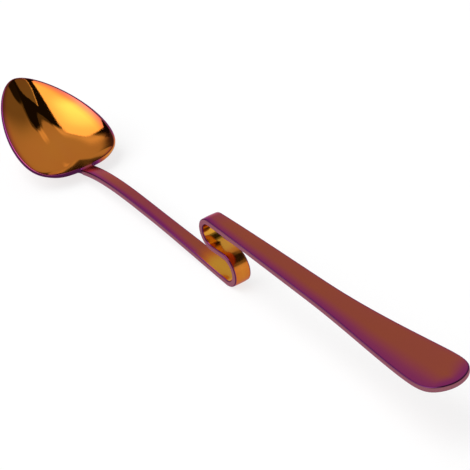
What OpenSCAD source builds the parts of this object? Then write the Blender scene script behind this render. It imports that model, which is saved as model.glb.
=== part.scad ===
// Hanging teaspoon, millimetres.
// One blank of sheet steel: its flat outline is cut, the bowl is pressed into one end,
// and the strip between bowl and handle is folded back on itself twice, so that the
// spoon hangs by the fold from the rim of a cup.
// The spoon lies as it rests on a table: on the underside of the bowl and on the
// outside of the lower bend. Z is up, X runs from the bowl to the end of the handle,
// and the origin is on the table, below the middle of the spoon's length.

/* [Bowl] */
// Length of the bowl along its rim, from the neck to the tip
bowl_l = 39.3; // [34:0.1:46]
// Width of the bowl at its widest place
bowl_w = 28; // [24:0.5:32]
// Distance from the neck to the widest place of the bowl
bowl_widest = 12; // [10:0.1:15]
// Depth of the bowl below its rim
bowl_depth = 6.6; // [5:0.1:8.5]
// Thickness of the bowl's wall
bowl_wall = 0.8; // [0.7:0.05:1.2]
// How far the tip's rounding reaches across, as a share of half the width
tip_fullness = 0.42; // [0.34:0.01:0.5]
// How far the bowl's side runs on straight towards the tip, as a share of that length
side_fullness = 0.43; // [0.36:0.01:0.5]
// How blunt the bowl's shoulders are, as a share of half the width
shoulder_fullness = 0.42; // [0.34:0.01:0.48]
// Angle between the bowl's rim and the straight part of the stem
bowl_tilt = 16.3; // [8:0.1:22]

/* [Neck and stem] */
// Width of the stem where it meets the bowl
neck_w = 3.8; // [3.4:0.1:5]
// Thickness of the stem where it meets the bowl
neck_t = 1.6; // [1.4:0.05:2]
// Radius of the fillets between the stem and the bowl's shoulders
neck_fillet_r = 1; // [0.8:0.1:1.6]
// Length of the land that runs from the stem into the bowl
land_l = 1.6; // [1:0.1:3]
// Distance over which the bowl reaches its full depth past that land
heel_l = 8; // [6:0.1:12]
// Length of the bend where the stem meets the bowl's rim
heel_bend_l = 1.6; // [1.2:0.1:3]
// Length of the stem's curved part
neck_l = 32.4; // [26:0.1:42]
// How far that part turns down towards the bowl
neck_drop = 16.3; // [10:0.1:20]
// Length of the stem's straighter part, up to the fold
lower_l = 36.8; // [30:0.1:45]
// How far the straighter part turns down towards the bowl
lower_drop = 1.8; // [0:0.1:3]
// Width of the stem at its narrowest
stem_w = 3.8; // [3.4:0.1:5]

/* [Fold] */
// Width of the strip in the fold
fold_w = 4.6; // [4:0.1:6]
// Thickness of the strip in the fold
fold_t = 1.45; // [1.3:0.05:1.9]
// Radius of the lower bend, to the middle of the strip
lower_bend_r = 3.8; // [3:0.1:4.5]
// How far the strip turns in the lower bend
lower_bend_angle = 186.4; // [176:0.1:188]
// Length of the run between the two bends
middle_l = 4.6; // [2:0.1:9]
// Radius of the upper bend, to the middle of the strip
upper_bend_r = 3.6; // [3:0.1:4.8]
// How far the strip turns in the upper bend
upper_bend_angle = 181.1; // [174:0.1:184]

/* [Handle] */
// Length of the handle from the fold to its end
handle_l = 84.9; // [70:0.1:100]
// How far the handle dips before it rises
handle_dip = 1.5; // [0:0.1:2.5]
// How far the end of the handle rises after that
handle_rise = 6.3; // [2:0.1:8]
// Width that the straight sides gain along the handle
handle_taper = 4.3; // [2:0.1:6]
// Further width that the paddle at the end gains
paddle_flare = 5.9; // [4:0.1:9]
// Thickness of the paddle
paddle_t = 1.25; // [1:0.05:1.5]
// Radius of the rounding at the end of the handle
end_r = 6.4; // [5.5:0.1:7.2]

/* [Edges] */
// How far the rounding of the strip's edges reaches in from its sides
edge_run = 0.42; // [0.3:0.01:0.6]
// Squareness of that rounding, 2 is an ellipse
edge_power = 3.2; // [2:0.1:4]
// How much thicker each face of the strip is along its middle
crown = 0.1; // [0.05:0.01:0.15]

/* [Hidden] */

TIP_STEPS = 24;
SHOULDER_STEPS = 15;
FILLET_STEPS = 4;
STRIP_STEPS = [2, 15, 14, 2, 14, 18];
END_STEPS = 13;
ROUND_ANGLES = [0, 30, 60, 90];
INSIDE_STEPS = 7;
SLOPE_STEP = 0.02;
SOLVE_ROUNDS = 22;
REST_ROUNDS = 8;

// The rim's rounded edge stands out from the middle of the wall, the more so the steeper the wall
rim_angle = 2 * atan(2 * bowl_depth / bowl_w);
rim_inset = bowl_wall / 2 * (1 - cos(rim_angle));
half_w = bowl_w / 2 - rim_inset;
neck_h = neck_w / 2;
fold_h = fold_w / 2;

// Ease from 0 to 1 with level ends
function smooth(t) = let (c = min(max(t, 0), 1)) c * c * (3 - 2 * c);
function mix(a, b, t) = a + (b - a) * t;
// Value at which an always rising or always falling function meets a target, by halving
function solve(f, target, low, high, rounds = SOLVE_ROUNDS) =
    let (middle = (low + high) / 2, falling = f(low) > f(high))
    rounds <= 0 ? middle
    : (f(middle) > target) == falling ? solve(f, target, middle, high, rounds - 1)
    : solve(f, target, low, middle, rounds - 1);
// Smaller of two lengths, with a soft change from one to the other
function soft_min(a, b, n) = a <= 0 || b <= 0 ? 0 : pow(pow(a, -n) + pow(b, -n), -1 / n);
function cubic(p, t) =
    p[0] * pow(1 - t, 3) + 3 * p[1] * t * pow(1 - t, 2) + 3 * p[2] * t * t * (1 - t) + p[3] * pow(t, 3);

// Side profile: a chain of [length, turn] from the bowl's tip to the end of the handle,
// where a positive turn bends the strip upwards
EASE_PARTS = 6;
function eased(len, turn) = [
    for (i = [0 : EASE_PARTS - 1]) [len / EASE_PARTS, turn * (2 * i + 1) / pow(EASE_PARTS, 2)]
];
function backwards(list) = [for (i = [len(list) - 1 : -1 : 0]) list[i]];
function arc_l(r, angle) = r * angle * PI / 180;
heel_bend_angle = bowl_tilt + neck_drop + lower_drop;
handle_dip_l = handle_l / 3;
CHAIN = concat(
    [[bowl_l, 0], [heel_bend_l, heel_bend_angle]],
    backwards(eased(neck_l, -neck_drop)),
    [
        [lower_l, -lower_drop],
        [arc_l(lower_bend_r, lower_bend_angle), lower_bend_angle],
        [middle_l, 0],
        [arc_l(upper_bend_r, upper_bend_angle), -upper_bend_angle]
    ],
    backwards(eased(handle_dip_l, -handle_dip)),
    eased(handle_l - handle_dip_l, handle_rise)
);
// Point and heading after a distance along one piece of the chain
function along(at, piece, d) =
    let (turn = piece[1] * d / piece[0], r = piece[1] == 0 ? 0 : piece[0] / (piece[1] * PI / 180))
    piece[1] == 0
    ? [at[0] + d * cos(at[2]), at[1] + d * sin(at[2]), at[2]]
    : [
        at[0] + r * (sin(at[2] + turn) - sin(at[2])),
        at[1] - r * (cos(at[2] + turn) - cos(at[2])),
        at[2] + turn
    ];
// Place along the chain where each piece starts, counted from the neck, and its frame
STARTS = [
    for (
        i = 0, s = -bowl_l, at = [0, 0, -bowl_tilt];
        i < len(CHAIN);
        at = along(at, CHAIN[i], CHAIN[i][0]), s = s + CHAIN[i][0], i = i + 1
    ) [s, at]
];
function profile(s) =
    let (i = max([for (k = [0 : len(CHAIN) - 1]) if (k == 0 || s >= STARTS[k][0]) k]))
    along(STARTS[i][1], CHAIN[i], s - STARTS[i][0]);

fold_s = heel_bend_l + neck_l + lower_l;
lower_bend_l = arc_l(lower_bend_r, lower_bend_angle);
upper_bend_l = arc_l(upper_bend_r, upper_bend_angle);
handle_s = fold_s + lower_bend_l + middle_l + upper_bend_l;
end_s = handle_s + handle_l;

// Flat outline of the bowl: one curve from the widest place to the tip and one from
// there to the neck, each as its distances from the neck and half widths
tip_along = [
    bowl_widest, bowl_widest + side_fullness * (bowl_l - bowl_widest), bowl_l, bowl_l
];
tip_across = [half_w, half_w, tip_fullness * half_w, 0];
shoulder_along = [bowl_widest, 0, 0, 0];
shoulder_across = [half_w, half_w, shoulder_fullness * half_w, 0];
function bowl_half(x) =
    x <= 0 || x >= bowl_l ? 0
    : x > bowl_widest ? cubic(tip_across, solve(function(t) cubic(tip_along, t), x, 0, 1))
    : cubic(shoulder_across, solve(function(t) cubic(shoulder_along, t), x, 0, 1));

// Half width of the strip from the neck to the end of the handle
FLARE_FROM = 0.46;
FLARE_TO = 1.15;
END_POWER = 4;
function stem_half(s) =
    s < fold_s / 2 ? mix(neck_w, stem_w, smooth(2 * s / fold_s)) / 2
    : mix(stem_w, fold_w, smooth(2 * s / fold_s - 1)) / 2;
function handle_half(d) =
    let (
        t = d / handle_l,
        side = (fold_w + handle_taper * t
            + paddle_flare * smooth((t - FLARE_FROM) / (FLARE_TO - FLARE_FROM))) / 2,
        round_end = sqrt(max(2 * end_r * (handle_l - d), 0))
    )
    soft_min(side, round_end, END_POWER);
function strip_half(s) = s < fold_s ? stem_half(s) : s < handle_s ? fold_h : handle_half(s - handle_s);

// Thickness along the spoon
THIN_FROM = 3;
function thickness(s) =
    s < 0 ? mix(neck_t, bowl_wall, smooth(-s / THIN_FROM))
    : s < fold_s ? mix(neck_t, fold_t, smooth(s / fold_s))
    : s < handle_s ? fold_t
    : mix(fold_t, paddle_t, smooth((s - handle_s) / handle_l));

// Depth of the bowl: each cross-section is an arc of a circle struck from one line above
// the rim, faded in from the neck. On the upper face the hollow starts at the edge of a
// small rounded land, and on the lower face at the neck, so the heel is thicker there
LAND_SPREAD = 0.8;
arc_height = (half_w * half_w - bowl_depth * bowl_depth) / (2 * bowl_depth);
land_half = LAND_SPREAD * neck_w;
function hollow_from(y, side) = side > 0 ? land_l * smooth(1 - abs(y) / land_half) : 0;
function depth(x, y, side) =
    let (
        w = bowl_half(x),
        dish = sqrt(arc_height * arc_height + max(w * w - y * y, 0)) - arc_height
    )
    dish * smooth((x - hollow_from(y, side)) / heel_l);
function slope_along(x, y, side) =
    (depth(x + SLOPE_STEP, y, side) - depth(x - SLOPE_STEP, y, side)) / (2 * SLOPE_STEP);
function slope_across(x, y, side) =
    (depth(x, y + SLOPE_STEP, side) - depth(x, y - SLOPE_STEP, side)) / (2 * SLOPE_STEP);

// Half of the flat outline, from the bowl's tip to the end of the handle, as
// [place of the edge, half width there, place of the rib's foot on the middle line]
TIP_FOOT = 5;
END_FOOT = 5;
END_ZONE = 12;
SHOULDER_FOOT_POWER = 1.3;
shoulder_end = solve(function(t) cubic(shoulder_across, t), neck_h + neck_fillet_r, 0, 1);
fillet_from = -cubic(shoulder_along, shoulder_end);
fillet_foot = -bowl_widest * pow(1 - shoulder_end, SHOULDER_FOOT_POWER);
fillet_to = fillet_from + neck_fillet_r;
tip_pull = (bowl_l - TIP_FOOT - bowl_widest) / (bowl_l - bowl_widest);
function spread(from, to, steps) = [for (i = [1 : steps]) mix(from, to, i / steps)];
strip_stops = [
    fillet_to, heel_bend_l + neck_fillet_r, fold_s, fold_s + lower_bend_l, handle_s - upper_bend_l,
    handle_s, end_s - END_ZONE
];
strip_places = [
    for (i = [0 : len(STRIP_STEPS) - 1]) each spread(strip_stops[i], strip_stops[i + 1], STRIP_STEPS[i])
];
OUTLINE = concat(
    [
        for (i = [0 : TIP_STEPS - 1])
            let (t = 1 - i / TIP_STEPS, x = cubic(tip_along, t), even = mix(bowl_widest, bowl_l, t))
            [-x, cubic(tip_across, t), -mix(bowl_widest, (x + even) / 2, tip_pull)]
    ],
    [
        for (i = [0 : SHOULDER_STEPS])
            let (t = shoulder_end * i / SHOULDER_STEPS)
            [
                -cubic(shoulder_along, t),
                cubic(shoulder_across, t),
                -bowl_widest * pow(1 - t, SHOULDER_FOOT_POWER)
            ]
    ],
    [
        for (i = [1 : FILLET_STEPS])
            let (a = 90 * i / FILLET_STEPS)
            [
                fillet_from + neck_fillet_r * (1 - cos(a)),
                neck_h + neck_fillet_r * (1 - sin(a)),
                mix(fillet_foot, fillet_to, i / FILLET_STEPS)
            ]
    ],
    [for (s = strip_places) [s, strip_half(s), s]],
    [
        for (i = [1 : END_STEPS])
            let (s = end_s - END_ZONE * (1 - sin(90 * i / END_STEPS)))
            [s, strip_half(s), end_s - mix(END_ZONE, END_FOOT, i / END_STEPS)]
    ]
);

// One point of a skin: side is 1 on the upper face and -1 on the lower, near is 1 or -1,
// inwards is the share of the way from the edge to the middle line, and round is the
// angle round the edge, 90 once the full thickness is reached
RIM_FROM = 2;
RIM_POWER = 2;
BY_THE_EDGE = 0.97;
function skin_point(rib, side, near, inwards, round) =
    let (
        t = thickness(rib[0]),
        reach = norm([rib[0] - rib[2], rib[1]]),
        edge_x = -mix(rib[2], rib[0], BY_THE_EDGE),
        edge_y = rib[1] * BY_THE_EDGE,
        steep = norm([slope_along(edge_x, edge_y, side), slope_across(edge_x, edge_y, side)]),
        in_bowl = smooth(-rib[0] / RIM_FROM),
        power = mix(edge_power, RIM_POWER, in_bowl),
        run = mix(edge_run, t / 2, in_bowl) / sqrt(1 + steep * steep),
        f = 1 - mix(run * (1 - pow(cos(round), 2 / power)) / reach, 1, inwards),
        s = mix(rib[2], rib[0], f),
        y = near * rib[1] * f,
        hollow = depth(-s, y, side),
        ds = -slope_along(-s, y, side),
        dy = slope_across(-s, y, side),
        h = side * (t / 2 + crown * (1 - f * f) * (1 - in_bowl)) * pow(sin(round), 2 / power),
        size = sqrt(1 + ds * ds + dy * dy),
        p = profile(s),
        up = (h / size) - hollow,
        fore = h * ds / size
    )
    [
        p[0] - up * sin(p[2]) + fore * cos(p[2]),
        y + h * dy / size,
        p[1] + up * cos(p[2]) + fore * sin(p[2])
    ];

// Rings round the strip at each rib: over the top from one edge to the other and back below
ROUNDS = len(ROUND_ANGLES) - 1;
LEVELS = ROUNDS + INSIDE_STEPS;
RING = 4 * LEVELS;
function level_inwards(k) = k <= ROUNDS ? 0 : (k - ROUNDS) / INSIDE_STEPS;
function level_round(k) = k <= ROUNDS ? ROUND_ANGLES[k] : 90;
function ring_point(rib, j) =
    let (
        side = j <= 2 * LEVELS ? 1 : -1,
        q = j % (2 * LEVELS),
        near = (j <= LEVELS || j >= 3 * LEVELS) ? 1 : -1,
        k = q <= LEVELS ? q : 2 * LEVELS - q
    )
    skin_point(rib, side, near, level_inwards(k), level_round(k));
LAST = len(OUTLINE) - 1;
FOLDED = 2 * LEVELS + 1;
SKIN = concat(
    [for (j = [0 : FOLDED - 1]) ring_point(OUTLINE[0], (j + 3 * LEVELS) % RING)],
    [for (i = [1 : LAST - 1]) for (j = [0 : RING - 1]) ring_point(OUTLINE[i], j)],
    [for (j = [0 : FOLDED - 1]) ring_point(OUTLINE[LAST], (j + 3 * LEVELS) % RING)]
);
// Number of a point: at the tip and at the end the near half lies on the far half
function folded(j) =
    let (m = (j > LEVELS && j < 3 * LEVELS) ? (6 * LEVELS - j) % RING : j)
    (m + LEVELS) % RING;
function number(i, j) =
    i == 0 ? folded(j % RING)
    : i == LAST ? FOLDED + (LAST - 1) * RING + folded(j % RING)
    : FOLDED + (i - 1) * RING + j % RING;
FACES = [
    for (i = [0 : LAST - 1]) for (j = [0 : RING - 1])
        let (a = number(i, j), b = number(i, j + 1), c = number(i + 1, j + 1), d = number(i + 1, j))
        each [[a, c, b], [a, d, c]]
];

// Lie on the table: turned so that the lowest places of bowl and lower bend are level
function lowest(points, turn) = min([for (p = points) p[2] * cos(turn) - p[0] * sin(turn)]);
fold_x = profile(fold_s)[0];
half_way = fold_x / 2;
bowl_points = [for (p = SKIN) if (p[0] < half_way) p];
bend_points = [for (p = SKIN) if (p[0] >= half_way) p];
function rest_turn(turn, rounds) =
    rounds <= 0 ? turn
    : rest_turn(turn + atan((lowest(bend_points, turn) - lowest(bowl_points, turn)) / fold_x), rounds - 1);
turn = rest_turn(0, REST_ROUNDS);
TURNED = [
    for (p = SKIN) [p[0] * cos(turn) + p[2] * sin(turn), p[1], p[2] * cos(turn) - p[0] * sin(turn)]
];
all_x = [for (p = TURNED) p[0]];
all_z = [for (p = TURNED) p[2]];
middle = [(min(all_x) + max(all_x)) / 2, 0, min(all_z)];

module spoon() {
    color("#8a4a34") polyhedron([for (p = TURNED) p - middle], FACES, convexity = 8);
}

spoon();
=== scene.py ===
import bpy
import numpy as np
from mathutils import Matrix


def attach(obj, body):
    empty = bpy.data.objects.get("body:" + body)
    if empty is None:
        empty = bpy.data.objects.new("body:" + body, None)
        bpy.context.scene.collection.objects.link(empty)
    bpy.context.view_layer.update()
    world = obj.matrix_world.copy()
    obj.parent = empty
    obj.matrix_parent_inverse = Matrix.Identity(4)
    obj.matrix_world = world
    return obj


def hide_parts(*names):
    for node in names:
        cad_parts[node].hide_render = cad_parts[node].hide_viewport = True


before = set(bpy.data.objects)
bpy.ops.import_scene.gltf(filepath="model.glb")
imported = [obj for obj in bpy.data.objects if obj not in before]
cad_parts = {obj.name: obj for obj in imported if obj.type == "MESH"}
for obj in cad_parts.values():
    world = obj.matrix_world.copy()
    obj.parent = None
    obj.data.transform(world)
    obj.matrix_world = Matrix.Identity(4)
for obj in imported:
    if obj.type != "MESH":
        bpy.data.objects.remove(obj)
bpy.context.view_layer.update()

# Hanging teaspoon. The steel is one skin, worked out from the sizes of the part's source
# on a much finer grid, so that a mirror polish shows smooth reflections. Lengths in this
# part of the file are millimetres, angles are degrees.

BOWL_L, BOWL_W, BOWL_WIDEST, BOWL_DEPTH, BOWL_WALL = 39.3, 28.0, 12.0, 6.6, 0.8
TIP_FULLNESS, SIDE_FULLNESS, SHOULDER_FULLNESS = 0.42, 0.43, 0.42
BOWL_TILT = 16.3
NECK_W, NECK_T, NECK_FILLET_R, LAND_L, HEEL_L, HEEL_BEND_L = 3.8, 1.6, 1.0, 1.6, 8.0, 1.6
NECK_L, NECK_DROP, LOWER_L, LOWER_DROP, STEM_W = 32.4, 16.3, 36.8, 1.8, 3.8
FOLD_W, FOLD_T = 4.6, 1.45
LOWER_BEND_R, LOWER_BEND_ANGLE, MIDDLE_L = 3.8, 186.4, 4.6
UPPER_BEND_R, UPPER_BEND_ANGLE = 3.6, 181.1
HANDLE_L, HANDLE_DIP, HANDLE_RISE, HANDLE_TAPER, PADDLE_FLARE = 84.9, 1.5, 6.3, 4.3, 5.9
PADDLE_T, END_R = 1.25, 6.4
EDGE_RUN, EDGE_POWER, CROWN = 0.42, 3.2, 0.1

LAND_SPREAD, SLOPE_STEP, THIN_FROM = 0.8, 0.02, 3.0
FLARE_FROM, FLARE_TO, END_POWER = 0.46, 1.15, 4
RIM_FROM, RIM_POWER, BY_THE_EDGE = 2.0, 2.0, 0.97
TIP_FOOT, END_FOOT, END_ZONE, SHOULDER_FOOT_POWER = 5.0, 5.0, 12.0, 1.3
EASE_PARTS, REST_ROUNDS = 6, 8
ROUND_STEPS, INSIDE_STEPS = 6, 20
TINY = 1e-9
MM = 0.001

# Depth and heel length of the hollow. The mesh has the part's own, but takes its shading
# from a gentler one, because the photo shows walls that mirror the room and not each
# other: the part's bowl is probably pressed too deep
PRESSED = (BOWL_DEPTH, HEEL_L)
EASED = (5.2, 38.0)


def smooth(t):
    """Ease from 0 to 1 with level ends: 3 t^2 - 2 t^3 of the clipped value."""
    c = np.clip(t, 0, 1)
    return c * c * (3 - 2 * c)


def mix(a, b, t):
    return a + (b - a) * t


def cubic(p, t):
    """Bezier curve of four numbers."""
    u = 1 - t
    return p[0] * u ** 3 + 3 * p[1] * t * u ** 2 + 3 * p[2] * t * t * u + p[3] * t ** 3


def eased(length, turn):
    """A curve in equal arcs whose turns grow evenly, so that it starts straight."""
    return [(length / EASE_PARTS, turn * (2 * i + 1) / EASE_PARTS ** 2) for i in range(EASE_PARTS)]


def arc_l(r, angle):
    return r * np.radians(angle)


# Side profile: a chain of (length, turn) from the bowl's tip to the end of the handle
LOWER_BEND_L = arc_l(LOWER_BEND_R, LOWER_BEND_ANGLE)
UPPER_BEND_L = arc_l(UPPER_BEND_R, UPPER_BEND_ANGLE)
CHAIN = np.array(
    [(BOWL_L, 0), (HEEL_BEND_L, BOWL_TILT + NECK_DROP + LOWER_DROP)]
    + eased(NECK_L, -NECK_DROP)[::-1]
    + [(LOWER_L, -LOWER_DROP), (LOWER_BEND_L, LOWER_BEND_ANGLE)]
    + [(MIDDLE_L, 0), (UPPER_BEND_L, -UPPER_BEND_ANGLE)]
    + eased(HANDLE_L / 3, -HANDLE_DIP)[::-1]
    + eased(HANDLE_L * 2 / 3, HANDLE_RISE)
)
FOLD_S = HEEL_BEND_L + NECK_L + LOWER_L
MIDDLE_S = FOLD_S + LOWER_BEND_L
UPPER_S = MIDDLE_S + MIDDLE_L
HANDLE_S = UPPER_S + UPPER_BEND_L
END_S = HANDLE_S + HANDLE_L


def along(at, piece, d):
    """Point and heading after a distance on one straight or arc of the chain."""
    turn = piece[:, 1] * d / piece[:, 0]
    straight = piece[:, 1] == 0
    r = piece[:, 0] / np.radians(np.where(straight, 1, piece[:, 1]))
    a, b = np.radians(at[:, 2]), np.radians(at[:, 2] + turn)
    x = at[:, 0] + np.where(straight, d * np.cos(a), r * (np.sin(b) - np.sin(a)))
    z = at[:, 1] + np.where(straight, d * np.sin(a), r * (np.cos(a) - np.cos(b)))
    return np.stack([x, z, at[:, 2] + turn], 1)


def chain_starts():
    """Where each piece of the chain starts, counted from the neck, and its frame."""
    at, frames = np.array([[0.0, 0.0, -BOWL_TILT]]), []
    for piece in CHAIN:
        frames.append(at[0])
        at = along(at, piece[None], piece[0])
    return np.cumsum(CHAIN[:, 0]) - CHAIN[:, 0] - BOWL_L, np.array(frames)


START_S, START_AT = chain_starts()


def profile(s):
    """x, z and heading of the strip's middle surface at a place along the chain."""
    i = np.clip(np.searchsorted(START_S, s, side="right") - 1, 0, len(CHAIN) - 1)
    return along(START_AT[i.ravel()], CHAIN[i.ravel()], (s - START_S[i]).ravel()).reshape(s.shape + (3,))


# Flat outline of the bowl: one curve from the widest place to the tip, one to the neck
RIM_ANGLE = 2 * np.arctan(2 * BOWL_DEPTH / BOWL_W)
HALF_W = BOWL_W / 2 - BOWL_WALL / 2 * (1 - np.cos(RIM_ANGLE))
NECK_H = NECK_W / 2
TIP_ALONG = (BOWL_WIDEST, BOWL_WIDEST + SIDE_FULLNESS * (BOWL_L - BOWL_WIDEST), BOWL_L, BOWL_L)
TIP_ACROSS = (HALF_W, HALF_W, TIP_FULLNESS * HALF_W, 0)
SHOULDER_ALONG = (BOWL_WIDEST, 0, 0, 0)
SHOULDER_ACROSS = (HALF_W, HALF_W, SHOULDER_FULLNESS * HALF_W, 0)
FINE = np.linspace(0, 1, 40001)


def bowl_half(x):
    """Half width of the flat bowl at a distance from the neck, read off the two curves."""
    tip = np.interp(x, cubic(TIP_ALONG, FINE), cubic(TIP_ACROSS, FINE))
    shoulder = np.interp(x, cubic(SHOULDER_ALONG, FINE)[::-1], cubic(SHOULDER_ACROSS, FINE)[::-1])
    return np.where((x <= 0) | (x >= BOWL_L), 0, np.where(x > BOWL_WIDEST, tip, shoulder))


def strip_half(s):
    """Half width of the strip: stem, fold, and handle with its paddle and rounded end."""
    stem = np.where(
        s < FOLD_S / 2,
        mix(NECK_W, STEM_W, smooth(2 * s / FOLD_S)),
        mix(STEM_W, FOLD_W, smooth(2 * s / FOLD_S - 1)),
    ) / 2
    d = s - HANDLE_S
    t = d / HANDLE_L
    flare = smooth((t - FLARE_FROM) / (FLARE_TO - FLARE_FROM))
    side = np.maximum((FOLD_W + HANDLE_TAPER * t + PADDLE_FLARE * flare) / 2, TINY)
    end = np.sqrt(2 * END_R * np.maximum(HANDLE_L - d, TINY))
    handle = (side ** -END_POWER + end ** -END_POWER) ** (-1 / END_POWER)
    return np.where(s < FOLD_S, stem, np.where(s < HANDLE_S, FOLD_W / 2, handle))


def thickness(s):
    """Thickness of the steel along the spoon, with eased changes."""
    handle = mix(FOLD_T, PADDLE_T, smooth((s - HANDLE_S) / HANDLE_L))
    stem = mix(NECK_T, FOLD_T, smooth(s / FOLD_S))
    strip = np.where(s < FOLD_S, stem, np.where(s < HANDLE_S, FOLD_T, handle))
    return np.where(s < 0, mix(NECK_T, BOWL_WALL, smooth(-s / THIN_FROM)), strip)


LAND_HALF = LAND_SPREAD * NECK_W


def depth(x, y, side, hollow):
    """Depth of the bowl: arcs of circles across it, faded in from the land at the neck.
    `hollow` is its greatest depth and the length over which it fades in."""
    deepest, heel_l = hollow
    arc_height = (HALF_W ** 2 - deepest ** 2) / (2 * deepest)
    w = bowl_half(x)
    dish = np.sqrt(arc_height ** 2 + np.maximum(w * w - y * y, 0)) - arc_height
    start = np.where(side > 0, LAND_L * smooth(1 - np.abs(y) / LAND_HALF), 0)
    return dish * smooth((x - start) / heel_l)


def slopes(x, y, side, hollow):
    """Central differences of the depth along and across the bowl."""
    along_x = depth(x + SLOPE_STEP, y, side, hollow) - depth(x - SLOPE_STEP, y, side, hollow)
    across_y = depth(x, y + SLOPE_STEP, side, hollow) - depth(x, y - SLOPE_STEP, side, hollow)
    return along_x / (2 * SLOPE_STEP), across_y / (2 * SLOPE_STEP)


def skin_points(ribs, side, near, inwards, angle, hollow):
    """Points of the skin: each lies on a rib of the flat blank, is rounded over at the
    blank's edge, pressed down by the bowl's depth, set off along the surface normal by
    half the thickness, and carried round the side profile."""
    edge_s, edge_y, foot_s = ribs[:, None, 0], ribs[:, None, 1], ribs[:, None, 2]
    t = thickness(edge_s)
    reach = np.hypot(edge_s - foot_s, edge_y)
    steep = np.hypot(*slopes(-mix(foot_s, edge_s, BY_THE_EDGE), edge_y * BY_THE_EDGE, side, hollow))
    in_bowl = smooth(-edge_s / RIM_FROM)
    power = mix(EDGE_POWER, RIM_POWER, in_bowl)
    run = mix(EDGE_RUN, t / 2, in_bowl) / np.sqrt(1 + steep ** 2)
    round_in = run * (1 - np.clip(np.cos(angle), 0, 1) ** (2 / power)) / reach
    f = 1 - mix(round_in, 1, inwards)
    s, y = mix(foot_s, edge_s, f), near * edge_y * f
    slope_s, slope_y = slopes(-s, y, side, hollow)
    h = side * (t / 2 + CROWN * (1 - f * f) * (1 - in_bowl)) * np.sin(angle) ** (2 / power)
    size = np.sqrt(1 + slope_s ** 2 + slope_y ** 2)
    p = profile(s)
    heading = np.radians(p[..., 2])
    up, fore = h / size - depth(-s, y, side, hollow), -h * slope_s / size
    x = p[..., 0] - up * np.sin(heading) + fore * np.cos(heading)
    z = p[..., 1] + up * np.cos(heading) + fore * np.sin(heading)
    return np.stack([x, y + h * slope_y / size, z], -1), s, y, f


def stretch(a, b, steps):
    return mix(a, b, np.arange(1, steps + 1) / steps)


def blank_ribs():
    """Ribs of the flat blank from tip to handle end: place of the edge, half width there
    and place of the rib's foot on the middle line."""
    tip_steps, shoulder_steps, fillet_steps, end_steps = 96, 72, 16, 56
    strip_steps = (8, 96, 64, 12, 64, 120)
    t = 1 - np.arange(tip_steps) / tip_steps
    x = cubic(TIP_ALONG, t)
    pull = (BOWL_L - TIP_FOOT - BOWL_WIDEST) / (BOWL_L - BOWL_WIDEST)
    tip = (-x, cubic(TIP_ACROSS, t), -mix(BOWL_WIDEST, (x + mix(BOWL_WIDEST, BOWL_L, t)) / 2, pull))
    last = np.interp(NECK_H + NECK_FILLET_R, cubic(SHOULDER_ACROSS, FINE)[::-1], FINE[::-1])
    t = last * np.arange(shoulder_steps + 1) / shoulder_steps
    foot = -BOWL_WIDEST * (1 - t) ** SHOULDER_FOOT_POWER
    shoulder = (-cubic(SHOULDER_ALONG, t), cubic(SHOULDER_ACROSS, t), foot)
    start = -cubic(SHOULDER_ALONG, last)
    end = start + NECK_FILLET_R
    share = stretch(0, 1, fillet_steps)
    a = share * np.pi / 2
    fillet_s = start + NECK_FILLET_R * (1 - np.cos(a))
    fillet = (fillet_s, NECK_H + NECK_FILLET_R * (1 - np.sin(a)), mix(foot[-1], end, share))
    stops = (end, HEEL_BEND_L + NECK_FILLET_R, FOLD_S, MIDDLE_S, UPPER_S, HANDLE_S, END_S - END_ZONE)
    s = np.concatenate([stretch(*stop) for stop in zip(stops, stops[1:], strip_steps)])
    strip = (s, strip_half(s), s)
    share = stretch(0, 1, end_steps)
    s = END_S - END_ZONE * (1 - np.sin(share * np.pi / 2))
    width = strip_half(s)
    width[-1] = 0
    handle_end = (s, width, END_S - mix(END_ZONE, END_FOOT, share))
    return np.concatenate([np.stack(part, 1) for part in (tip, shoulder, fillet, strip, handle_end)])


# Thickness of the colour film, 0 straw gold to 1 deep violet: on the strip, and how much
# more it is at places of it, the near side's share being a painted sheen for the film's change of hue
# with the viewing angle; inside the slots; in the hollow, on its back, and on edges, with thin light
# gold film on the far rim by the shoulder as a painted highlight
STRIP_FILM, NEAR_PAINTED_SHEEN, FAR_MORE, NECK_MORE, STEM_MORE, BEND_MORE = 0.5, 0.21, 0.05, 0.09, 0.1, 0.1
END_RING_FILM, SLOT_FILM, ROUND_BEND_FILM, SLOT_EDGE_MORE = 0.72, 0.05, 0.2, 0.05
HOLLOW_FILM, HOLLOW_RING_MORE, BACK_FILM, BACK_RING_MORE = 0.22, 0.34, 0.5, 0.2
EDGE_FILM, FAR_RIM_PAINTED_HIGHLIGHT = 1.0, 0.15


def fade(value, start, length):
    """Ease from 0 at the start to 1 a length further on."""
    return smooth((value - start) / length)


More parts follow.
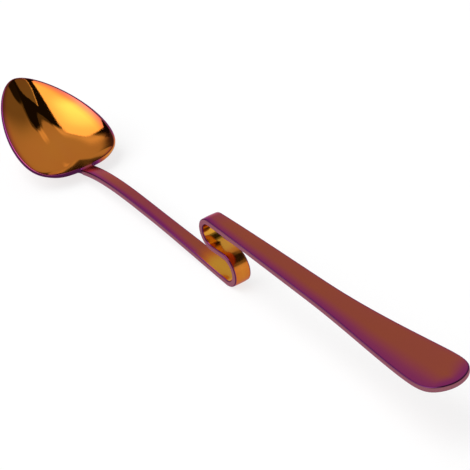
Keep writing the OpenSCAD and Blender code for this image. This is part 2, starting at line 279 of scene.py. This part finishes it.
def film_values(s, y, f, side, angle):
    """How thick the colour film is, with painted light in it, and how much of a place is the sheared
    side of the strip. The film is thicker on the edges, and thin inside the fold and in the hollow of
    the bowl. The near side of the strip gets thicker, more violet film as a painted sheen that stands
    for the film's change of hue with the viewing angle. The rounded edge of the far rim by the shoulder
    gets thin, light gold film as a painted highlight. Places along and across the spoon are in
    millimetres, `f` and `from_near` are shares of the half width."""
    top = side > 0
    in_bowl = fade(-s, -0.6, 1.4)
    width = np.where(s < 0, bowl_half(np.maximum(-s, 0)), strip_half(s))
    from_near = y / np.maximum(width, 1e-6)
    # The near side's extra film is a painted sheen: its deeper violet stands for the film's change of
    # hue with the viewing angle
    strip = STRIP_FILM + NEAR_PAINTED_SHEEN * fade(-from_near, 0.02, 0.95) + FAR_MORE * fade(from_near, 0.7, 0.3)
    end_ring = fade(s, END_S - 7, 6) * fade(f, 0.3, 0.6)
    strip = np.maximum(strip, mix(STRIP_FILM, END_RING_FILM, end_ring))
    strip += BEND_MORE * smooth(1 - np.abs(s - HANDLE_S + 3) / 9)
    strip += STEM_MORE * smooth(1 - np.abs(s - FOLD_S / 2) / 24)
    strip += NECK_MORE * (1 - fade(s, 2, 12))
    in_lower_slot = fade(s, FOLD_S - 15, 9) * (1 - fade(s, UPPER_S, 4))
    in_upper_slot = fade(s, FOLD_S - 1, 4) * (1 - fade(s, HANDLE_S, 10))
    round_bend = mix(SLOT_FILM, ROUND_BEND_FILM, 1 - fade(s, MIDDLE_S - 1, 3))
    slot = np.where(top, SLOT_FILM, round_bend) + SLOT_EDGE_MORE * np.abs(from_near)
    strip = mix(strip, slot, np.where(top, in_lower_slot, in_upper_slot))
    reach_in = 1 - f
    off_neck = np.maximum(fade(-s, 5, 4), fade(np.abs(y), 1.6, 1.4))
    hollow = HOLLOW_FILM + HOLLOW_RING_MORE * smooth(1 - reach_in / 0.17) ** 1.5 * off_neck
    back = BACK_FILM + BACK_RING_MORE * smooth(1 - reach_in / 0.3)
    film_with_painted_light = mix(strip, np.where(top, hollow, back), in_bowl)
    edge = np.cos(angle) ** 0.6
    # Painted highlight: the rounded edge of the far rim by the shoulder gets thin, light gold film in
    # place of deep violet, which makes a light line along it
    far_rim_highlight = fade(y, 2, 4) * fade(s, -9, 5) * in_bowl
    edge_film_and_highlight = mix(EDGE_FILM, FAR_RIM_PAINTED_HIGHLIGHT, far_rim_highlight)
    film_with_painted_light = mix(film_with_painted_light, edge_film_and_highlight, fade(edge, mix(0.1, 0.55, in_bowl), 0.4))
    cut = fade(edge, 0.72, 0.2) * fade(s, 0.5, 1.5)
    return film_with_painted_light, cut


def spoon_skin(hollow):
    """The whole spoon as rings of points round each rib, over the top and back below,
    with the near and far halves joined at the tip and at the end of the handle."""
    ribs = blank_ribs()
    levels = ROUND_STEPS + INSIDE_STEPS
    ring = 4 * levels
    j = np.arange(ring)
    side = np.where(j <= 2 * levels, 1, -1)
    q = j % (2 * levels)
    near = np.where((j <= levels) | (j >= 3 * levels), 1, -1)
    k = np.where(q <= levels, q, 2 * levels - q)
    inwards = np.clip((k - ROUND_STEPS) / INSIDE_STEPS, 0, 1)
    angle = np.radians(90 * np.clip(k / ROUND_STEPS, 0, 1))
    points, s, y, f = skin_points(ribs, side, near, inwards, angle, hollow)
    film_with_painted_light, cut = film_values(s, y, f, side, angle)
    bowl = smooth(-s / 4)
    number = np.arange(len(ribs) * ring).reshape(len(ribs), ring)
    over, under = np.minimum(j, 2 * levels - j), np.maximum(j, 6 * levels - j) % ring
    mirror = np.where(j <= 2 * levels, over, under)
    number[0], number[-1] = number[0][mirror], number[-1][mirror]
    a, b = number[:-1], np.roll(number[:-1], -1, 1)
    d, c = number[1:], np.roll(number[1:], -1, 1)
    quads = np.stack([a, b, c, d], -1).reshape(-1, 4)
    used, packed = np.unique(quads, return_inverse=True)
    flat = lambda v: np.broadcast_to(v, s.shape).reshape(-1)[used]
    return points.reshape(-1, 3)[used], packed.reshape(-1, 4), {
        "film_with_painted_light": flat(film_with_painted_light), "cut": flat(cut), "bowl": flat(bowl)
    }


def turned(p, angle):
    """Points turned about Y, a positive angle lowering the handle's end."""
    c, s = np.cos(angle), np.sin(angle)
    return np.stack([p[..., 0] * c + p[..., 2] * s, p[..., 1], p[..., 2] * c - p[..., 0] * s], -1)


def rest_turn(points):
    """Angle at which the lowest places of the bowl and of the lower bend are level."""
    fold_x = profile(np.array([FOLD_S]))[0, 0]
    bowl, bend = points[points[:, 0] < fold_x / 2], points[points[:, 0] >= fold_x / 2]
    angle = 0.0
    for _ in range(REST_ROUNDS):
        above = turned(bend, angle)[:, 2].min() - turned(bowl, angle)[:, 2].min()
        angle += np.arctan(above / fold_x)
    return angle


FLAT_POINTS, QUADS, VALUES = spoon_skin(PRESSED)
TURN = rest_turn(FLAT_POINTS)
LYING = turned(FLAT_POINTS, TURN)
LOW, HIGH = LYING.min(0), LYING.max(0)
ORIGIN = np.array([(LOW[0] + HIGH[0]) / 2, 0, LOW[2]])


def to_frame(p):
    """From the chain's own frame in millimetres to the part's frame in metres."""
    return (turned(np.asarray(p, float), TURN) - ORIGIN) * MM


def new_mesh(name, points, faces, values):
    mesh = bpy.data.meshes.new(name)
    mesh.vertices.add(len(points))
    mesh.vertices.foreach_set("co", np.asarray(points, np.float32).ravel())
    mesh.loops.add(faces.size)
    mesh.loops.foreach_set("vertex_index", faces.astype(np.int32).ravel())
    mesh.polygons.add(len(faces))
    mesh.polygons.foreach_set("loop_start", np.arange(0, faces.size, faces.shape[1], dtype=np.int32))
    mesh.update(calc_edges=True)
    mesh.validate()
    mesh.shade_smooth()
    for key, value in values.items():
        layer = mesh.attributes.new(key, "FLOAT", "POINT")
        layer.data.foreach_set("value", np.asarray(value, np.float32))
    piece = bpy.data.objects.new(name, mesh)
    bpy.context.scene.collection.objects.link(piece)
    return piece


def linear(code):
    """sRGB hex colour to linear RGBA."""
    c = np.array([int(code[i:i + 2], 16) for i in (1, 3, 5)]) / 255
    c = np.where(c <= 0.04045, c / 12.92, ((c + 0.055) / 1.055) ** 2.4)
    return (*[float(v) for v in c], 1.0)


def add(tree, kind, at, links=None, **settings):
    """Adds a node: settings are its properties, or its inputs when they are given by a
    number or a socket's name in `links`."""
    node = tree.nodes.new(kind)
    node.location = at
    for key, value in settings.items():
        setattr(node, key, value)
    for key, value in (links or {}).items():
        if isinstance(value, bpy.types.NodeSocket):
            tree.links.new(value, node.inputs[key])
        else:
            node.inputs[key].default_value = value
    return node


# Film of titanium compounds on polished steel. Its colour goes with its thickness:
# straw gold where it is thinnest, then orange, copper brown, magenta and deep violet.
FILM_COLOURS = (
    (0.0, "#D8A034"), (0.12, "#D29032"), (0.25, "#C8702A"),
    (0.38, "#B65C30"), (0.5, "#A2503A"), (0.6, "#9C4450"),
    (0.72, "#8B2F66"), (0.84, "#6F2460"), (1.0, "#46183F"),
)
SHEARED_SIDE_COLOUR = "#8E5862"


def filmed_steel():
    """Stainless steel, pressed and polished, under a vapour-deposited colour film: mirror
    bright in the bowl, a little softer on the strip, pinkish grey on the sheared sides."""
    m = bpy.data.materials.new("titanium_filmed_stainless_steel")
    m.use_nodes = True
    t = m.node_tree
    shader = t.nodes["Principled BSDF"]
    # This attribute holds the film's thickness together with a painted sheen on the near side of the
    # strip and a painted highlight on the far rim of the bowl
    film_with_painted_light = add(t, "ShaderNodeAttribute", (-1300, 200), attribute_name="film_with_painted_light")
    cut = add(t, "ShaderNodeAttribute", (-1300, 0), attribute_name="cut")
    bowl = add(t, "ShaderNodeAttribute", (-1300, -200), attribute_name="bowl")
    place = add(t, "ShaderNodeTexCoord", (-1500, -500))
    # The film drifts a little over 20 mm or so
    cloud = add(
        t, "ShaderNodeTexNoise", (-1100, -300),
        {"Vector": place.outputs["Object"], "Scale": 55.0, "Detail": 2.0, "Roughness": 0.45},
    )
    drift = add(
        t, "ShaderNodeMath", (-900, -300),
        {0: cloud.outputs["Fac"], 1: 0.5}, operation="SUBTRACT",
    )
    shift = add(
        t, "ShaderNodeMath", (-900, 100),
        {0: drift.outputs[0], 1: 0.1, 2: film_with_painted_light.outputs["Fac"]}, operation="MULTIPLY_ADD",
    )
    ramp = add(t, "ShaderNodeValToRGB", (-700, 150), {"Fac": shift.outputs[0]})
    stops = ramp.color_ramp.elements
    stops[0].position, stops[0].color = FILM_COLOURS[0][0], linear(FILM_COLOURS[0][1])
    stops[1].position, stops[1].color = FILM_COLOURS[-1][0], linear(FILM_COLOURS[-1][1])
    for position, code in FILM_COLOURS[1:-1]:
        stops.new(position).color = linear(code)
    colour = add(t, "ShaderNodeMix", (-350, 150), {"Factor": cut.outputs["Fac"]}, data_type="RGBA")
    t.links.new(ramp.outputs["Color"], colour.inputs["A"])
    colour.inputs["B"].default_value = linear(SHEARED_SIDE_COLOUR)
    t.links.new(colour.outputs["Result"], shader.inputs["Base Color"])
    # Polishing lines 0.3 mm apart along the strip, coarser than the real ones, which are
    # too fine to show
    stretch_map = add(
        t, "ShaderNodeMapping", (-1300, -600),
        {"Vector": place.outputs["Object"], "Scale": (60.0, 3200.0, 3200.0)},
    )
    lines = add(
        t, "ShaderNodeTexNoise", (-1100, -600),
        {"Vector": stretch_map.outputs[0], "Scale": 1.0, "Detail": 3.0},
    )
    strip_rough = add(
        t, "ShaderNodeMath", (-800, -500),
        {0: lines.outputs["Fac"], 1: 0.06, 2: 0.13}, operation="MULTIPLY_ADD",
    )
    strip_side = add(
        t, "ShaderNodeMath", (-600, -500),
        {0: cut.outputs["Fac"], 1: 0.12, 2: strip_rough.outputs[0]}, operation="MULTIPLY_ADD",
    )
    bowl_rough = add(
        t, "ShaderNodeMath", (-800, -700),
        {0: cloud.outputs["Fac"], 1: 0.03, 2: 0.02}, operation="MULTIPLY_ADD",
    )
    rough = add(
        t, "ShaderNodeMix", (-350, -450),
        {"Factor": bowl.outputs["Fac"], "A": strip_side.outputs[0], "B": bowl_rough.outputs[0]},
        data_type="FLOAT",
    )
    t.links.new(rough.outputs["Result"], shader.inputs["Roughness"])
    bump = add(
        t, "ShaderNodeBump", (-350, -800),
        {"Height": lines.outputs["Fac"], "Strength": 0.12, "Distance": 0.00002},
    )
    t.links.new(bump.outputs["Normal"], shader.inputs["Normal"])
    shader.inputs["Metallic"].default_value = 1.0
    shader.inputs["Specular Tint"].default_value = linear("#E8C8D8")
    return m


def eased_normals():
    """Vertex normals of the same skin with the gentler hollow."""
    skin = new_mesh("eased_skin", to_frame(spoon_skin(EASED)[0]), QUADS, {})
    normals = np.empty(len(skin.data.vertices) * 3, np.float32)
    skin.data.vertex_normals.foreach_get("vector", normals)
    bpy.data.meshes.remove(skin.data)
    return normals.reshape(-1, 3)


spoon = new_mesh("teaspoon", to_frame(FLAT_POINTS), QUADS, VALUES)
spoon.data.normals_split_custom_set_from_vertices(eased_normals())
spoon.data.materials.append(filmed_steel())
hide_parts("spoon")
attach(spoon, "root")


def floor():
    """A plain white table top: it takes the soft shadow, and is near white to the camera."""
    size = 3.0
    corners = np.array([(-size, -size, 0), (size, -size, 0), (size, size, 0), (-size, size, 0)])
    piece = new_mesh("table_top", corners, np.array([[0, 1, 2, 3]]), {})
    m = bpy.data.materials.new("white_table")
    m.use_nodes = True
    t = m.node_tree
    t.nodes.remove(t.nodes["Principled BSDF"])
    ray = add(t, "ShaderNodeLightPath", (-800, 200))
    seen = add(
        t, "ShaderNodeMath", (-600, 200),
        {0: ray.outputs["Is Camera Ray"], 1: ray.outputs["Is Glossy Ray"]}, operation="MAXIMUM",
    )
    share = add(t, "ShaderNodeMath", (-400, 200), {0: seen.outputs[0], 1: 0.75}, operation="MULTIPLY")
    matt = add(t, "ShaderNodeBsdfDiffuse", (-400, 0), {"Color": linear("#FAFAFA")})
    glow = add(t, "ShaderNodeEmission", (-400, -150), {"Strength": 1.0})
    both = add(
        t, "ShaderNodeMixShader", (-150, 0),
        {0: share.outputs[0], 1: matt.outputs[0], 2: glow.outputs[0]},
    )
    t.links.new(both.outputs[0], t.nodes["Material Output"].inputs["Surface"])
    piece.data.materials.append(m)


def hanging_card(t, plan, corners, soft, at):
    """Mask of a flat card that hangs level above the table: 1 inside its corners, 0
    outside, with a soft border. Each side eases from 0 to 1 with the distance that a
    place of the plan lies inside it, and the sides are multiplied."""
    mask = None
    for i, (x, y) in enumerate(corners):
        ahead = np.subtract(corners[(i + 1) % len(corners)], (x, y))
        inwards = np.array([-ahead[1], ahead[0]]) / np.hypot(*ahead)
        side = float(inwards @ (x, y))
        across = add(
            t, "ShaderNodeVectorMath", (at[0], at[1] - 160 * i),
            {0: plan, 1: (float(inwards[0]), float(inwards[1]), 0.0)}, operation="DOT_PRODUCT",
        )
        inside = add(
            t, "ShaderNodeMapRange", (at[0] + 200, at[1] - 160 * i),
            {"Value": across.outputs["Value"], "From Min": side - soft, "From Max": side + soft},
            interpolation_type="SMOOTHSTEP",
        ).outputs[0]
        if mask is not None:
            inside = add(
                t, "ShaderNodeMath", (at[0] + 400, at[1] - 160 * i),
                {0: mask, 1: inside}, operation="MULTIPLY",
            ).outputs[0]
        mask = inside
    return mask


# The studio's cards: brightness, softness of the border and corners, counterclockwise from
# above, all measured in the level plane that lies one unit above the table
CARDS = (
    # dark of the room beyond the handle, and a black strip of it low down
    (0.25, 0.28, ((-0.42, 0.55), (0.0, 0.2), (2.4, 0.1), (2.4, 2.4), (-0.5, 2.4))),
    (0.02, 0.03, ((0.04, 0.38), (1.2, 0.38), (1.2, 0.9), (0.09, 0.74), (0.03, 0.6))),
    # black flag beside the soft box, a brown card seen past it, and that card's lit edge
    (0.10, 0.05, ((-0.41, 0.33), (-0.3, 0.25), (0.05, 0.3), (0.05, 0.50), (-0.33, 0.51))),
    (0.012, 0.012, (
        (-0.47, 0.215), (0.245, -0.11), (1.2, -0.5), (1.2, 0.5),
        (0.05, 0.445), (-0.24, 0.42), (-0.36, 0.30),
    )),
    (0.26, 0.012, ((-0.01, 0.27), (0.235, 0.02), (1.2, -0.4), (1.2, 0.52), (0.16, 0.37))),
    (1.0, 0.004, ((-0.018, 0.264), (0.225, 0.014), (0.24, 0.022), (-0.005, 0.276))),
    # glow on the tent at the end of the soft box
    (1.15, 0.05, ((-0.56, 0.23), (-0.41, 0.225), (-0.37, 0.26), (-0.44, 0.31), (-0.56, 0.30))),
    # large soft box, brighter over the lamp in its middle
    (2.3, 0.012, (
        (0.245, -0.10), (-0.50, 0.23), (-0.8, 0.1), (-2.6, -1.6),
        (-0.6, -2.8), (0.30, -2.2), (0.27, -0.5),
    )),
    (4.2, 0.13, ((0.03, -0.13), (-0.45, 0.09), (-0.65, -0.1), (-0.3, -0.5), (0.0, -0.4))),
)


def studio():
    """A white tent that is lighter low down, with the cards hung in it. They are placed
    so that their reflections in the bowl fall where the photo shows them. A direction is
    read as the place x / z, y / z that it passes in the cards' level plane."""
    world = bpy.data.worlds.new("studio")
    bpy.context.scene.world = world
    world.use_nodes = True
    t = world.node_tree
    place = add(t, "ShaderNodeTexCoord", (-2400, 0))
    ray = add(t, "ShaderNodeSeparateXYZ", (-2200, 0), {0: place.outputs["Generated"]})
    above = add(t, "ShaderNodeMath", (-2000, -200), {0: ray.outputs["Z"], 1: 0.02}, operation="MAXIMUM")
    z = above.outputs[0]
    x = add(t, "ShaderNodeMath", (-1800, 0), {0: ray.outputs["X"], 1: z}, operation="DIVIDE")
    y = add(t, "ShaderNodeMath", (-1800, -200), {0: ray.outputs["Y"], 1: z}, operation="DIVIDE")
    flat = add(t, "ShaderNodeCombineXYZ", (-1600, -100), {0: x.outputs[0], 1: y.outputs[0]})
    plan = flat.outputs[0]
    tent = add(
        t, "ShaderNodeMapRange", (-1800, 300),
        {"Value": ray.outputs["Z"], "From Min": 0.1, "From Max": 0.6, "To Min": 1.0, "To Max": 0.68},
        interpolation_type="SMOOTHSTEP",
    )
    level = tent.outputs[0]
    for i, (strength, soft, corners) in enumerate(CARDS):
        row = 300 - 1200 * i
        mask = hanging_card(t, plan, corners, soft, (-1400, row))
        overhead = add(
            t, "ShaderNodeMath", (-800, row),
            {0: ray.outputs["Z"], 1: 0.05}, operation="GREATER_THAN",
        )
        shown = add(
            t, "ShaderNodeMath", (-600, row),
            {0: mask, 1: overhead.outputs[0]}, operation="MULTIPLY",
        )
        level = add(
            t, "ShaderNodeMix", (-400, row),
            {"Factor": shown.outputs[0], "A": level, "B": strength}, data_type="FLOAT",
        ).outputs["Result"]
    t.links.new(level, t.nodes["Background"].inputs["Strength"])
    t.nodes["Background"].inputs["Color"].default_value = (1, 1, 1, 1)


# Camera as solved from the photograph, in the frame of the fold: the point where the
# lower run meets the lower bend, with the lower run along X
FOLD_AT = profile(np.array([FOLD_S]))[0]
CAMERA_FROM_FOLD = np.array([237.21, -146.11, 222.24])
CAMERA_RIGHT = np.array([0.57415, 0.81530, -0.07503])
CAMERA_UP = np.array([-0.45823, 0.39593, 0.79578])
FOCAL_PIXELS, FRAME_PIXELS, SENSOR = 1500.0, 470.0, 32.0


def camera():
    data = bpy.data.cameras.new("photo_camera")
    data.sensor_fit, data.sensor_width = "HORIZONTAL", SENSOR
    data.lens = FOCAL_PIXELS / FRAME_PIXELS * SENSOR
    data.clip_start, data.clip_end = 0.01, 20.0
    right = turned(CAMERA_RIGHT, TURN)
    up = turned(CAMERA_UP, TURN)
    place = to_frame(CAMERA_FROM_FOLD + (FOLD_AT[0], 0, FOLD_AT[1]))
    piece = bpy.data.objects.new("photo_camera", data)
    bpy.context.scene.collection.objects.link(piece)
    axes = np.stack([right, up, np.cross(right, up)], 1)
    matrix = Matrix([list(map(float, row)) + [0.0] for row in axes] + [[0, 0, 0, 1]])
    matrix.translation = [float(v) for v in place]
    piece.matrix_world = matrix
    bpy.context.scene.camera = piece


floor()
studio()
camera()
bpy.context.scene.view_settings.view_transform = "Standard"
